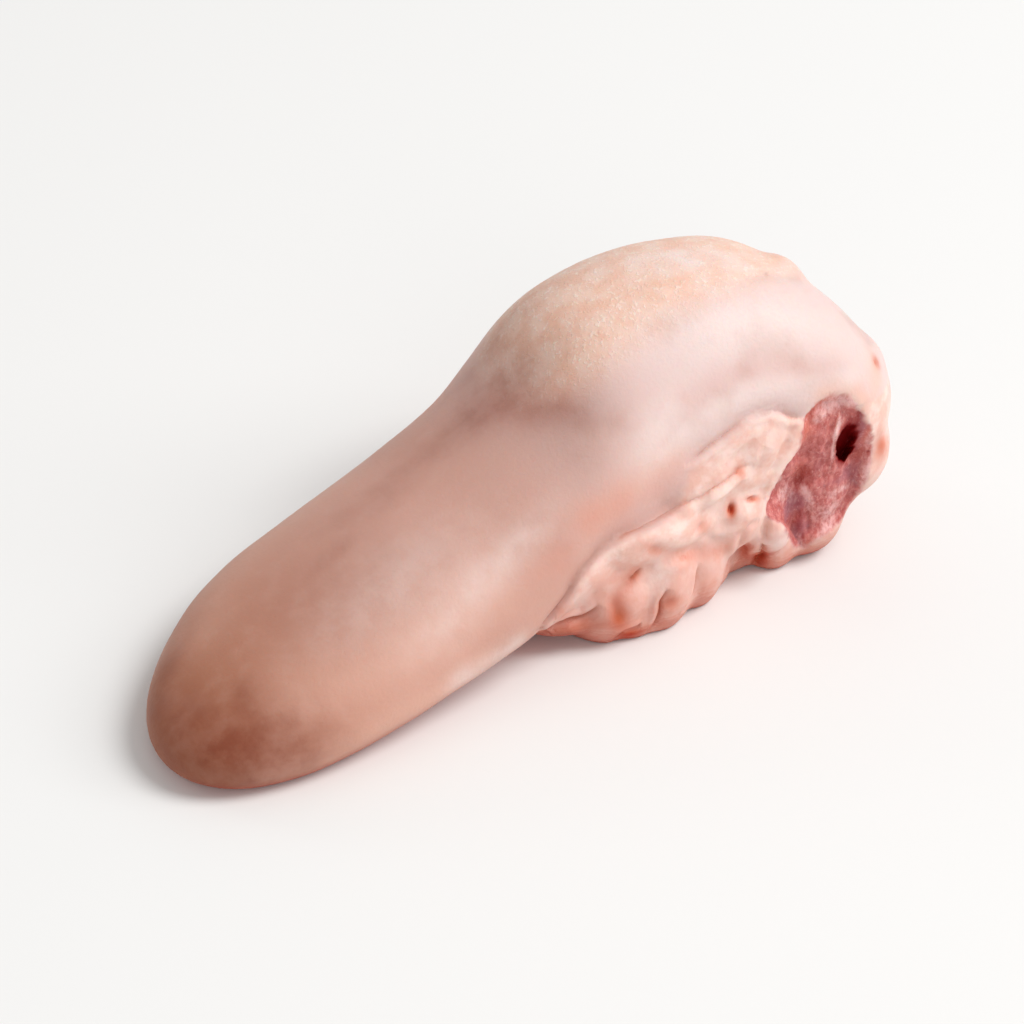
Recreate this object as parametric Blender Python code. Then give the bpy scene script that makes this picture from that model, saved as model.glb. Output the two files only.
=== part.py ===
"""Raw pork tongue, lying on its underside: one closed solid.

Millimetres in the named values, metres in the finished mesh. +X runs from the tip to the root,
-Y is the near side, with the cut flesh, +Z is up, and z = 0 is the surface that it lies on.

The body is a loft of rounded sections. Fat, gland lumps and root muscle are rounded masses
under it. They are fused into one skin, then the furrows, pits and ridges are pressed into it or
raised on it, and the underside is cut flat where it rests.
"""
import bpy
import bmesh
import numpy as np
from math import cos, pi, radians, sin
from mathutils import Euler, Matrix, Vector
from mathutils.bvhtree import BVHTree

MM = 0.001

# ---- driving dimensions, in millimetres -------------------------------------------------------
LENGTH = 180.0            # tip to root
HEIGHT = 75.6             # top of the hump above the underside before it settles
SETTLED = 4.8             # the soft underside flattens by this much where it rests
WIDTH = 61.2              # full width of the body
TIP_ROUNDING = 31.5       # length over which the tip closes
ROOT_ROUNDING = 25.0      # length over which the root end closes
TIP_FULLNESS = 2.2        # 2 closes an end like an ellipse, more is blunter
ROOT_FULLNESS = 2.3
SQUARENESS = (2.2, 2.3)   # of the sections at the tip and at the root, 2 is an ellipse

# ---- skin of the fused solid ------------------------------------------------------------------
VOXEL = 1.6               # grain of the fused skin
SKIN_SMOOTHING = 5        # passes that melt the joints between the masses
EDGE_SMOOTHING = 1        # passes that soften the edges of the hollows
TRIANGLES = 9200          # faces of the finished solid
STEP_ALONG = 1.0          # spacing of the places along a mark

# ---- body profile: places along the length, from 0 at the tip to 1 at the root, and shares ----
TOP_LINE = ((0.00, 0.31), (0.10, 0.335), (0.22, 0.40), (0.34, 0.50), (0.44, 0.59), (0.52, 0.70),
            (0.60, 0.905), (0.68, 0.976), (0.78, 1.00), (0.87, 0.952), (0.94, 0.845), (1.00, 0.726))
BOTTOM_LINE = ((0.00, 0.014), (0.10, -0.011), (0.22, 0.002), (0.36, 0.06), (0.48, 0.12), (0.58, 0.167),
               (0.70, 0.214), (0.82, 0.262), (0.92, 0.298), (1.00, 0.321))
WIDEST_LINE = ((0.00, 0.143), (0.10, 0.167), (0.22, 0.202), (0.36, 0.262), (0.48, 0.345),
               (0.58, 0.417), (0.70, 0.488), (0.82, 0.524), (0.92, 0.548), (1.00, 0.524))
WIDTH_LINE = ((0.00, 0.70), (0.10, 0.815), (0.22, 0.963), (0.34, 0.985), (0.58, 0.985),
              (0.70, 1.015), (0.82, 1.00), (0.92, 1.00), (1.00, 0.90))
SWAY_LINE = ((0.00, -3.0), (0.20, 4.0), (0.35, 5.0), (0.50, 5.0), (0.65, 6.0), (0.82, 0.5),
             (1.00, -8.5))

# ---- masses under the body: centre, half sizes, and lean about X, Y and Z in degrees ----------
CORE = (
    ((-27, 3.5, 11.5), (30.5, 19, 12.5), (0, -6, 0)),   # muscle that carries the blade
    ((4.5, 3.5, 18), (36, 20.5, 19), (0, -4, 0)),
    ((43, 2, 20), (38, 22.5, 20.5), (0, 0, 0)),
)
GLANDS = (
    ((3.5, -14, 13.2), (11.5, 9, 5.6), (0, 0, -24)),  # front flap, its edge clear of the table
    ((7, -5, 9), (10, 9.5, 9), (0, 0, 0)),            # wedge that carries the flap
    ((21, -14, 12), (19.5, 11.5, 13), (0, 0, 0)),     # bed that the folds lie on
    ((12.8, -15.8, 16.5), (11, 11.5, 15), (-8, 0, 8)),
    ((24, -18.7, 16), (10, 11, 15.5), (-6, 0, 0)),
    ((34.6, -16.8, 16), (9, 11.5, 15.5), (-6, 0, 0)),
    ((23, -19, 30.5), (19, 10, 8), (0, 4, 0)),        # broad hump above the folds
    ((43, -18.5, 26), (10, 11, 11.5), (0, 0, 0)),
    ((48.5, -11, 12.5), (12.5, 11.5, 12.5), (0, 0, 0)),
    ((16.8, -18.6, 9.5), (5.5, 8.6, 8), (0, 0, 0)),   # feet of the lobes
    ((40.8, -15.8, 10), (5.6, 8.6, 8), (0, 0, 0)),
)
SHEET = (
    ((36, -20.5, 39), (17, 8.5, 5.5), (0, -22, 0)),
    ((50, -21, 43), (12, 8.5, 8.5), (0, 0, 0)),
)                                                     # smooth sheet over the glands
ROOT_MUSCLE = (
    ((68.5, -11.5, 28), (15.5, 20.5, 22.5), (0, 0, 0)),
    ((66.5, -14.5, 14.5), (11.5, 15.5, 13.5), (0, 0, 0)),
    ((76.3, -19, 29.5), (11, 13.5, 14.5), (0, 0, 0)),
    ((79.2, -18.5, 47.8), (7.1, 9.1, 8.4), (0, 0, 0)),
    ((68.5, -4, 63), (7, 9, 9), (0, 0, 0)),           # ridge over the cut end
    ((68.5, 9, 23.5), (19, 21.5, 20), (0, 0, 0)),
    ((53, -19, 20), (7, 11, 11), (0, 0, 0)),
    ((57.3, -19.7, 10), (6.2, 7.5, 7.8), (0, 0, 0)),  # round lump beside the cut flesh
)
HOLLOWS = (
    ((69.5, -42.5, 38), (15.5, 13.5, 16), (0, 0, 0)),  # cut face of the flesh, above and below
    ((63, -42.5, 25), (12.5, 13, 16), (0, 0, 0)),
    ((70.5, -28.9, 37.2), (3.2, 9.0, 5.0), (-38, 0, -36)),  # open end of the vessel in it
    ((60.2, -26.5, 29.5), (1.8, 4.5, 2.8), (-38, 0, -36)),  # pit beside it
)

# ---- marks pressed into the near side (depth > 0) or raised on it (depth < 0) -----------------
# route of (x, z) places, half width, depth
NEAR_MARKS = (
    (((-9, 17), (-5, 20.5), (0, 27.5), (4, 31), (11, 35), (20, 36), (28, 37.5), (33, 39), (40.5, 40.5)),
     2.0, 1.5),                                              # crease under the body
    (((28, 45), (37.5, 49), (44.5, 52), (50, 52), (54.5, 49)), 1.6, 1.2),  # top of the sheet
    (((-6, 18), (1.5, 15), (5.5, 16), (6, 19)), 1.6, 1.3),   # top of the front flap
    (((21, 19), (20, 13), (19.5, 7.5)), 1.5, 1.5),           # folds between the lobes
    (((31.5, 20), (30.5, 17), (28, 14), (26, 9)), 1.5, 1.3),
    (((14.5, 9), (11.5, 8), (9, 6)), 1.4, 0.8),
    (((16.5, 27.5), (12.5, 22), (9, 18), (10, 13)), 2.0, 0.9),
    (((15.5, 32), (23, 26.5), (33, 21.5), (37.5, 21)), 2.0, 0.9),
    (((48.5, 18), (51, 12.5), (53, 8)), 1.6, 1.5),           # furrow before the round lump
    (((40.5, 31.5), (40, 29)), 1.3, 1.8),                    # pit in the fat
    (((12.5, 34.5), (18, 34.5), (24, 33)), 2.3, -0.6),
)
FAR_SHIFT = 5.5           # the far glands sit this much nearer the tip
FAR_SWAY = 6.0            # and are mirrored about this y
FAR_UNLIKE = 0.08         # each of them is up to this share larger or smaller
FAR_RHYTHM = 2.3          # how fast that share changes from one mass to the next
CENTRING = -2.2           # sideways shift of the whole that centres its box on the origin


def curve(place, points):
    """Smooth value at each place, through (place, value) points."""
    xs = np.array([p[0] for p in points])
    ys = np.array([p[1] for p in points])
    step = np.diff(xs)
    slope = np.diff(ys) / step
    inner = (slope[:-1] * step[1:] + slope[1:] * step[:-1]) / (step[1:] + step[:-1])
    tangent = np.concatenate(([slope[0]], inner, [slope[-1]]))
    i = np.clip(np.searchsorted(xs, place, side="right") - 1, 0, len(xs) - 2)
    h = xs[i + 1] - xs[i]
    t = (place - xs[i]) / h
    return (ys[i] * (1 + 2 * t) * (1 - t) ** 2 + tangent[i] * h * t * (1 - t) ** 2
            + ys[i + 1] * t * t * (3 - 2 * t) + tangent[i + 1] * h * t * t * (t - 1))


def closing(distance, reach, fullness):
    """Share of the full section at a distance from an end that closes over reach."""
    inside = np.clip(1.0 - distance / reach, 0.0, 1.0)
    return (1.0 - inside ** fullness) ** (1.0 / fullness)


def body_section(x, around):
    """One ring of the body at x from the tip, as points in millimetres."""
    u = x / LENGTH
    share = closing(x, TIP_ROUNDING, TIP_FULLNESS) * closing(LENGTH - x, ROOT_ROUNDING, ROOT_FULLNESS)
    middle = HEIGHT * curve(u, WIDEST_LINE)
    rise = (HEIGHT * curve(u, TOP_LINE) - middle) * share
    drop = (middle - HEIGHT * curve(u, BOTTOM_LINE)) * share
    half = 0.5 * WIDTH * curve(u, WIDTH_LINE) * share
    squareness = 2.0 / (SQUARENESS[0] + (SQUARENESS[1] - SQUARENESS[0]) * u)
    ring = []
    for k in range(around):
        a = 2.0 * pi * k / around
        side = np.sign(cos(a)) * abs(cos(a)) ** squareness
        lift = np.sign(sin(a)) * abs(sin(a)) ** squareness
        height = middle + (rise if lift > 0 else drop) * lift
        ring.append((x - LENGTH / 2, curve(u, SWAY_LINE) + half * side, height))
    return ring


def add_body(bm, stations=56, around=56):
    """Loft the sections from tip to root and close both ends with a point."""
    rings = []
    for k in range(1, stations):
        x = LENGTH * 0.5 * (1.0 - cos(pi * k / stations))
        rings.append([bm.verts.new(Vector(p) * MM) for p in body_section(x, around)])
    for a, b in zip(rings, rings[1:]):
        for k in range(around):
            j = (k + 1) % around
            bm.faces.new((a[k], b[k], b[j], a[j]))
    for ring, end in ((rings[0], 0.0), (rings[-1], 1.0)):
        tip = bm.verts.new(Vector(((end - 0.5) * LENGTH, curve(end, SWAY_LINE),
                                   HEIGHT * curve(end, WIDEST_LINE))) * MM)
        for k in range(around):
            j = (k + 1) % around
            bm.faces.new((tip, ring[k], ring[j]) if end == 0.0 else (tip, ring[j], ring[k]))


def add_mass(bm, centre, half, lean):
    """One rounded mass: a sphere stretched to its half sizes, leaned and placed."""
    turn = Euler([radians(a) for a in lean]).to_matrix().to_4x4()
    place = Matrix.Translation(Vector(centre) * MM) @ turn @ Matrix.Diagonal((*half, 1.0))
    bmesh.ops.create_icosphere(bm, subdivisions=4, radius=MM, matrix=place)


def far_side(masses):
    """The same row of masses on the far side, a little forward and not quite alike."""
    for number, (centre, half, lean) in enumerate(masses):
        grow = 1.0 + FAR_UNLIKE * sin(FAR_RHYTHM * number)
        x, y, z = centre
        yield ((x - FAR_SHIFT, FAR_SWAY - y, z), tuple(h * grow for h in half),
               (-lean[0], lean[1], -lean[2]))


def joined_masses():
    """All closed shapes of the tongue in one mesh, still overlapping."""
    bm = bmesh.new()
    add_body(bm)
    for mass in (*CORE, *GLANDS, *SHEET, *ROOT_MUSCLE, *far_side((*GLANDS, *SHEET))):
        add_mass(bm, *mass)
    mesh = bpy.data.meshes.new("tongue")
    bm.to_mesh(mesh)
    bm.free()
    return mesh


def near_route(tree, route):
    """The route's (x, z) places laid on the near side of the skin, closely spaced."""
    laid = []
    for a, b in zip(route, route[1:]):
        a, b = np.array(a, float), np.array(b, float)
        pieces = max(2, int(np.hypot(*(b - a)) / STEP_ALONG))
        for k in range(pieces + 1):
            x, z = a + (b - a) * k / pieces
            hit = tree.ray_cast(Vector((x, -WIDTH, z)) * MM, Vector((0, 1, 0)))[0]
            if hit is not None:
                laid.append(tuple(hit))
    return np.array(laid)


def press_marks(obj, marks):
    """Move the skin in or out round each mark, deepest on its route."""
    mesh = obj.data
    count = len(mesh.vertices)
    place = np.empty(count * 3)
    mesh.vertices.foreach_get("co", place)
    place = place.reshape(count, 3)
    outward = np.empty(count * 3)
    mesh.vertices.foreach_get("normal", outward)
    outward = outward.reshape(count, 3)
    tree = BVHTree.FromPolygons([tuple(p) for p in place], [tuple(f.vertices) for f in mesh.polygons])
    move = np.zeros(count)
    for route, half, depth in marks:
        line = near_route(tree, route)
        low, high = line.min(0) - 3 * half * MM, line.max(0) + 3 * half * MM
        close = np.nonzero(((place > low) & (place < high)).all(1))[0]
        gap = np.linalg.norm(place[close, None] - line[None], axis=2).min(1) / (half * MM)
        move[close] -= depth * MM * np.exp(-gap ** 2)
    place += outward * move[:, None]
    mesh.vertices.foreach_set("co", place.ravel())
    mesh.update()


def hollow_out(obj):
    """Cut the hollows away, then close the skin again over the sharp edges."""
    bm = bmesh.new()
    for hollow in HOLLOWS:
        add_mass(bm, *hollow)
    mesh = bpy.data.meshes.new("hollows")
    bm.to_mesh(mesh)
    bm.free()
    cutter = bpy.data.objects.new("hollows", mesh)
    bpy.context.scene.collection.objects.link(cutter)
    cut = obj.modifiers.new("cut", "BOOLEAN")
    cut.operation = "DIFFERENCE"
    cut.use_self = True
    cut.object = cutter
    apply_modifiers(obj)
    bpy.data.objects.remove(cutter, do_unlink=True)


def apply_modifiers(obj):
    """Keep the mesh as its modifiers leave it."""
    graph = bpy.context.evaluated_depsgraph_get()
    mesh = bpy.data.meshes.new_from_object(obj.evaluated_get(graph))
    obj.modifiers.clear()
    obj.data = mesh


def fuse(obj, passes):
    """One skin over everything, with its sharp joints melted by smoothing passes."""
    skin = obj.modifiers.new("skin", "REMESH")
    skin.mode = "VOXEL"
    skin.voxel_size = VOXEL * MM
    melt = obj.modifiers.new("melt", "SMOOTH")
    melt.factor = 0.5
    melt.iterations = passes
    apply_modifiers(obj)


def thin_out(obj):
    """Fewer faces, small where the form turns sharply and large where it is smooth."""
    faces = sum(len(p.vertices) - 2 for p in obj.data.polygons)
    thin = obj.modifiers.new("thin", "DECIMATE")
    thin.ratio = TRIANGLES / faces
    apply_modifiers(obj)


def press_base(obj):
    """Cut off what has settled, so that the tongue rests flat on z = 0."""
    bm = bmesh.new()
    bm.from_mesh(obj.data)
    cut = bmesh.ops.bisect_plane(bm, geom=[*bm.verts, *bm.edges, *bm.faces], dist=1e-7,
                                 plane_co=(0, 0, SETTLED * MM), plane_no=(0, 0, -1), clear_outer=True)
    edges = [e for e in cut["geom_cut"] if isinstance(e, bmesh.types.BMEdge)]
    bmesh.ops.holes_fill(bm, edges=edges)
    bmesh.ops.triangulate(bm, faces=bm.faces)
    bmesh.ops.translate(bm, verts=bm.verts, vec=(0, CENTRING * MM, -SETTLED * MM))
    bm.to_mesh(obj.data)
    bm.free()


def skin_material():
    """Moist pale pink skin."""
    material = bpy.data.materials.new("skin")
    material.use_nodes = True
    shader = material.node_tree.nodes["Principled BSDF"]
    shader.inputs["Base Color"].default_value = (0.66, 0.36, 0.28, 1.0)
    shader.inputs["Roughness"].default_value = 0.45
    shader.inputs["Metallic"].default_value = 0.0
    return material


def make_tongue():
    tongue = bpy.data.objects.new("tongue", joined_masses())
    bpy.context.scene.collection.objects.link(tongue)
    fuse(tongue, SKIN_SMOOTHING)
    hollow_out(tongue)
    fuse(tongue, EDGE_SMOOTHING)
    press_marks(tongue, NEAR_MARKS)
    thin_out(tongue)
    press_base(tongue)
    tongue.data.shade_smooth()
    tongue.data.materials.append(skin_material())
    return tongue


for old in list(bpy.data.objects):
    bpy.data.objects.remove(old, do_unlink=True)
make_tongue()
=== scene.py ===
# %% [markdown]
# # A raw pork tongue on a pale table
#
# The real thing is one piece of meat: a smooth blade that thickens into a high hump, a row of
# fatty glands along its side, and a cut face of dark flesh at the root. We build its skin as one
# fine mesh, press folds and pits into it, paint soft masks of fat, flesh and blush onto it, and
# let one material read those masks. Lengths in this lesson are millimetres, and MM turns them
# into Blender's metres. Only the lamps are placed in metres.

# %% Load the frame
from math import cos, pi, radians, sin

import bmesh
import bpy
import numpy as np
from mathutils import Euler, Matrix, Vector, noise
from mathutils.bvhtree import BVHTree


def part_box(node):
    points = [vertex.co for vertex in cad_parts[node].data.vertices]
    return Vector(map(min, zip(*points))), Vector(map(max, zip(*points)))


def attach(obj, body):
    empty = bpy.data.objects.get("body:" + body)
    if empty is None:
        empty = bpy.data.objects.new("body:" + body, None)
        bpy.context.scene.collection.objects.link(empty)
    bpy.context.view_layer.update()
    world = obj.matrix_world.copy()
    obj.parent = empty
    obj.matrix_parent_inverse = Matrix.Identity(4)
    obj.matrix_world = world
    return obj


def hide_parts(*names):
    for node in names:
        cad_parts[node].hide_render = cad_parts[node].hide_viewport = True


MM = 0.001
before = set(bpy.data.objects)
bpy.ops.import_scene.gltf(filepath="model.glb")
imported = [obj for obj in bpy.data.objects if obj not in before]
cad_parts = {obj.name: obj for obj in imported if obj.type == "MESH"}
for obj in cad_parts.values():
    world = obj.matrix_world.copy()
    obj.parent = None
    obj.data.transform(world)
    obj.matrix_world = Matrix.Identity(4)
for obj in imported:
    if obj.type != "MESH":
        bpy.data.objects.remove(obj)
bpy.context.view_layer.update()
low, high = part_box("tongue")
print("the solid's box, mm:", [round(v / MM, 1) for v in (*low, *high)])

# %% [markdown]
# ## Camera
#
# The photo looks down on the tongue from the front left. A long lens far away keeps the tip from
# ballooning. We place the camera by the point it looks at, two angles and a distance, because
# those are easier to judge than a position.

# %% Camera
TARGET = Vector((0.8, -2.2, 26.0)) * MM
TURN, LIFT, AWAY = radians(-36), radians(38), 612 * MM
FOCAL, SENSOR, FRAME = 100.0, 36.0, 1024


def look_from(turn, lift):
    """Unit vectors that point back to the viewer, to the right and up."""
    back = Vector((sin(turn) * cos(lift), -cos(turn) * cos(lift), sin(lift)))
    right = Vector((cos(turn), sin(turn), 0.0))
    return back, right, back.cross(right)


def aim(obj, axes, distance, target):
    """Stand an object at a distance from the target, facing it."""
    back, right, up = axes
    place = Matrix((right, up, back)).transposed().to_4x4()
    place.translation = target + back * distance
    obj.matrix_world = place


def shown(name, data):
    """A new object in the scene."""
    obj = bpy.data.objects.new(name, data)
    bpy.context.scene.collection.objects.link(obj)
    return obj


lens = bpy.data.cameras.new("camera")
lens.lens, lens.sensor_width = FOCAL, SENSOR
camera = shown("camera", lens)
VIEW = look_from(TURN, LIFT)
aim(camera, VIEW, AWAY, TARGET)
EYE = TARGET + VIEW[0] * AWAY
bpy.context.scene.camera = camera
print("camera at, mm:", [round(v / MM) for v in EYE])

# %% [markdown]
# ## The body: a loft of rounded sections
#
# A tongue has no straight edge to extrude and no axis to turn round. What changes along it is
# simple, though: how high its top is, how low its belly, how wide it is and how far it sways.
# Each of those is one smooth line through a few places, and a ring of points at every place
# along the length follows them.

# %% Driving sizes
LENGTH, HEIGHT, WIDTH = 180.0, 75.6, 61.2
TIP_ROUNDING, ROOT_ROUNDING = 31.5, 25.0
TIP_FULLNESS, ROOT_FULLNESS = 2.2, 2.3
SQUARENESS, SQUARER = 2.2, 0.1
CENTRING, SETTLED = -2.2, 4.8
TOP_LINE = ((0.00, 0.31), (0.10, 0.335), (0.22, 0.40), (0.34, 0.50), (0.44, 0.59), (0.52, 0.70),
            (0.60, 0.905), (0.68, 0.976), (0.78, 1.00), (0.87, 0.952), (0.94, 0.845), (1.00, 0.726))
BOTTOM_LINE = ((0.00, 0.014), (0.10, -0.011), (0.22, 0.002), (0.36, 0.06), (0.48, 0.12),
               (0.58, 0.167), (0.70, 0.214), (0.82, 0.262), (0.92, 0.298), (1.00, 0.321))
WIDEST_LINE = ((0.00, 0.143), (0.10, 0.167), (0.22, 0.202), (0.36, 0.262), (0.48, 0.345),
               (0.58, 0.417), (0.70, 0.488), (0.82, 0.524), (0.92, 0.548), (1.00, 0.524))
WIDTH_LINE = ((0.00, 0.70), (0.10, 0.815), (0.22, 0.963), (0.34, 0.985), (0.58, 0.985),
              (0.70, 1.015), (0.82, 1.00), (0.92, 1.00), (1.00, 0.90))
SWAY_LINE = ((0.00, -3.0), (0.20, 4.0), (0.35, 5.0), (0.50, 5.0), (0.65, 6.0), (0.82, 0.5),
             (1.00, -8.5))
print("before it settles, mm: long", LENGTH, "high", HEIGHT, "wide", WIDTH)


# %% A smooth line through a few places
def curve(place, points):
    """Smooth value at each place, through (place, value) points."""
    xs = np.array([p[0] for p in points])
    ys = np.array([p[1] for p in points])
    step = np.diff(xs)
    slope = np.diff(ys) / step
    inner = (slope[:-1] * step[1:] + slope[1:] * step[:-1]) / (step[1:] + step[:-1])
    tangent = np.concatenate(([slope[0]], inner, [slope[-1]]))
    place = np.clip(place, xs[0], xs[-1])
    i = np.clip(np.searchsorted(xs, place, side="right") - 1, 0, len(xs) - 2)
    h = xs[i + 1] - xs[i]
    t = (place - xs[i]) / h
    return (ys[i] * (1 + 2 * t) * (1 - t) ** 2 + tangent[i] * h * t * (1 - t) ** 2
            + ys[i + 1] * t * t * (3 - 2 * t) + tangent[i + 1] * h * t * t * (t - 1))


print("half way along, the top is at", round(HEIGHT * float(curve(0.5, TOP_LINE)), 1), "mm")


# %% Loft the body
def closing(distance, reach, fullness):
    """Share of the full section at a distance from an end that closes over reach."""
    inside = np.clip(1.0 - distance / reach, 0.0, 1.0)
    return (1.0 - inside ** fullness) ** (1.0 / fullness)


def body_section(x, around):
    """One ring of the body at x from the tip, as points in millimetres."""
    u = x / LENGTH
    share = closing(x, TIP_ROUNDING, TIP_FULLNESS) * closing(LENGTH - x, ROOT_ROUNDING, ROOT_FULLNESS)
    middle = HEIGHT * curve(u, WIDEST_LINE)
    rise = (HEIGHT * curve(u, TOP_LINE) - middle) * share
    drop = (middle - HEIGHT * curve(u, BOTTOM_LINE)) * share
    half = 0.5 * WIDTH * curve(u, WIDTH_LINE) * share
    squareness = 2.0 / (SQUARENESS + SQUARER * u)
    ring = []
    for k in range(around):
        a = 2.0 * pi * k / around
        side = np.sign(cos(a)) * abs(cos(a)) ** squareness
        lift = np.sign(sin(a)) * abs(sin(a)) ** squareness
        height = middle + (rise if lift > 0 else drop) * lift
        ring.append((x - LENGTH / 2, curve(u, SWAY_LINE) + half * side, height))
    return ring


def add_body(bm, stations=110, around=110):
    """Loft the sections from tip to root and close both ends with a point."""
    rings = []
    for k in range(1, stations):
        x = LENGTH * 0.5 * (1.0 - cos(pi * k / stations))
        rings.append([bm.verts.new(Vector(p) * MM) for p in body_section(x, around)])
    for a, b in zip(rings, rings[1:]):
        for k in range(around):
            j = (k + 1) % around
            bm.faces.new((a[k], b[k], b[j], a[j]))
    for ring, end in ((rings[0], 0.0), (rings[-1], 1.0)):
        tip = bm.verts.new(Vector(((end - 0.5) * LENGTH, curve(end, SWAY_LINE),
                                   HEIGHT * curve(end, WIDEST_LINE))) * MM)
        for k in range(around):
            j = (k + 1) % around
            bm.faces.new((tip, ring[k], ring[j]) if end == 0.0 else (tip, ring[j], ring[k]))


for x in (20.0, 90.0, 140.0):
    sides = [p[1] for p in body_section(x, 4)]
    print("width of the section at", x, "mm:", round(max(sides) - min(sides), 1))

# %% [markdown]
# ## Fat, glands and root muscle: rounded masses
#
# Under the hump lie soft lobes that push against each other. Modelling each as a stretched
# sphere and letting a voxel remesh swallow them all is how a sculptor would add clay, and it
# always gives one closed skin. A little smoothing melts the seams. Last, we cut the underside
# flat where the meat has settled on the table.

# %% Masses: centre, half sizes, lean about X, Y and Z in degrees
CORE = (
    ((-27, 3.5, 11.5), (30.5, 19, 12.5), (0, -6, 0)),
    ((4.5, 3.5, 18), (36, 20.5, 19), (0, -4, 0)),
    ((43, 2, 20), (38, 22.5, 20.5), (0, 0, 0)),
)
GLANDS = (
    ((3.5, -14, 13.2), (11.5, 9, 5.6), (0, 0, -24)),
    ((7, -5, 9), (10, 9.5, 9), (0, 0, 0)),
    ((21, -14, 12), (19.5, 11.5, 13), (0, 0, 0)),
    ((12.8, -15.8, 16.5), (11, 11.5, 15), (-8, 0, 8)),
    ((24, -18.7, 16), (10, 11, 15.5), (-6, 0, 0)),
    ((34.6, -16.8, 16), (9, 11.5, 15.5), (-6, 0, 0)),
    ((23, -19, 30.5), (19, 10, 8), (0, 4, 0)),
    ((43, -18.5, 26), (10, 11, 11.5), (0, 0, 0)),
    ((48.5, -11, 12.5), (12.5, 11.5, 12.5), (0, 0, 0)),
    ((16.8, -18.6, 9.5), (5.5, 8.6, 8), (0, 0, 0)),
    ((40.8, -15.8, 10), (5.6, 8.6, 8), (0, 0, 0)),
)
SHEET = (
    ((36, -20.5, 39), (17, 8.5, 5.5), (0, -22, 0)),
    ((50, -21, 43), (12, 8.5, 8.5), (0, 0, 0)),
)
ROOT_MUSCLE = (
    ((68.5, -11.5, 28), (15.5, 20.5, 22.5), (0, 0, 0)),
    ((66.5, -14.5, 14.5), (11.5, 15.5, 13.5), (0, 0, 0)),
    ((76.3, -19, 29.5), (11, 13.5, 14.5), (0, 0, 0)),
    ((79.2, -18.5, 47.8), (7.1, 9.1, 8.4), (0, 0, 0)),
    ((68.5, -4, 63), (7, 9, 9), (0, 0, 0)),
    ((68.5, 9, 23.5), (19, 21.5, 20), (0, 0, 0)),
    ((53, -19, 20), (7, 11, 11), (0, 0, 0)),
    ((57.3, -19.7, 10), (6.2, 7.5, 7.8), (0, 0, 0)),
)
FAR_SHIFT, FAR_SWAY, FAR_UNLIKE, FAR_RHYTHM = 5.5, 6.0, 0.08, 2.3
print("masses:", len((*CORE, *GLANDS, *SHEET, *ROOT_MUSCLE)), "and", len((*GLANDS, *SHEET)),
      "more on the far side")


# %% Put body and masses into one mesh
def add_mass(bm, centre, half, lean):
    """One rounded mass: a sphere stretched to its half sizes, leaned and placed."""
    turn = Euler([radians(a) for a in lean]).to_matrix().to_4x4()
    place = Matrix.Translation(Vector(centre) * MM) @ turn @ Matrix.Diagonal((*half, 1.0))
    bmesh.ops.create_icosphere(bm, subdivisions=5, radius=MM, matrix=place)


def far_side(masses):
    """The same row of masses on the far side, a little forward and not quite alike."""
    for number, (centre, half, lean) in enumerate(masses):
        grow = 1.0 + FAR_UNLIKE * sin(FAR_RHYTHM * number)
        x, y, z = centre
        yield ((x - FAR_SHIFT, FAR_SWAY - y, z), tuple(h * grow for h in half),
               (-lean[0], lean[1], -lean[2]))


def mesh_of(name, add_all):
    """A new mesh that holds what add_all puts into it."""
    bm = bmesh.new()
    add_all(bm)
    mesh = bpy.data.meshes.new(name)
    bm.to_mesh(mesh)
    bm.free()
    return mesh


def add_tongue(bm):
    """The body and every mass, still as separate shells."""
    add_body(bm)
    for mass in (*CORE, *GLANDS, *SHEET, *ROOT_MUSCLE, *far_side((*GLANDS, *SHEET))):
        add_mass(bm, *mass)


tongue = shown("pork_tongue", mesh_of("tongue", add_tongue))
print("loose shells:", len(tongue.data.polygons), "faces")


# %% Fuse to one skin and cut the base flat
VOXEL, MELTING = 1.3, 9


def apply_modifiers(obj):
    """Keep the mesh as its modifiers leave it."""
    graph = bpy.context.evaluated_depsgraph_get()
    mesh = bpy.data.meshes.new_from_object(obj.evaluated_get(graph))
    obj.modifiers.clear()
    obj.data = mesh


def fuse(obj, passes):
    """One skin over everything, with its sharp joints melted by smoothing passes."""
    skin = obj.modifiers.new("skin", "REMESH")
    skin.mode = "VOXEL"
    skin.voxel_size = VOXEL * MM
    melt = obj.modifiers.new("melt", "SMOOTH")
    melt.factor = 0.5
    melt.iterations = passes
    apply_modifiers(obj)


def press_base(obj):
    """Cut the part that has settled on the table off, and centre the tongue on the origin."""
    bm = bmesh.new()
    bm.from_mesh(obj.data)
    cut = bmesh.ops.bisect_plane(bm, geom=[*bm.verts, *bm.edges, *bm.faces], dist=1e-7,
                                 plane_co=(0, 0, SETTLED * MM), plane_no=(0, 0, -1),
                                 clear_outer=True)
    edges = [e for e in cut["geom_cut"] if isinstance(e, bmesh.types.BMEdge)]
    bmesh.ops.holes_fill(bm, edges=edges)
    bmesh.ops.triangulate(bm, faces=[f for f in bm.faces if len(f.verts) > 4])
    bmesh.ops.translate(bm, verts=bm.verts, vec=(0, CENTRING * MM, -SETTLED * MM))
    bm.to_mesh(obj.data)
    bm.free()


fuse(tongue, MELTING)
print("fused skin:", len(tongue.data.polygons), "faces")
press_base(tongue)
print("settled, mm:", [round(v / MM, 1) for v in tongue.dimensions])

# %% [markdown]
# ## Reading places off the photo
#
# Every fold has to sit where the photo shows it. We shoot a ray from the camera through a pixel
# of the photo (1024 x 1024) and keep the point where it meets the skin. From there on the place
# belongs to the mesh, so a fold stays put whatever side we look from.

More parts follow.
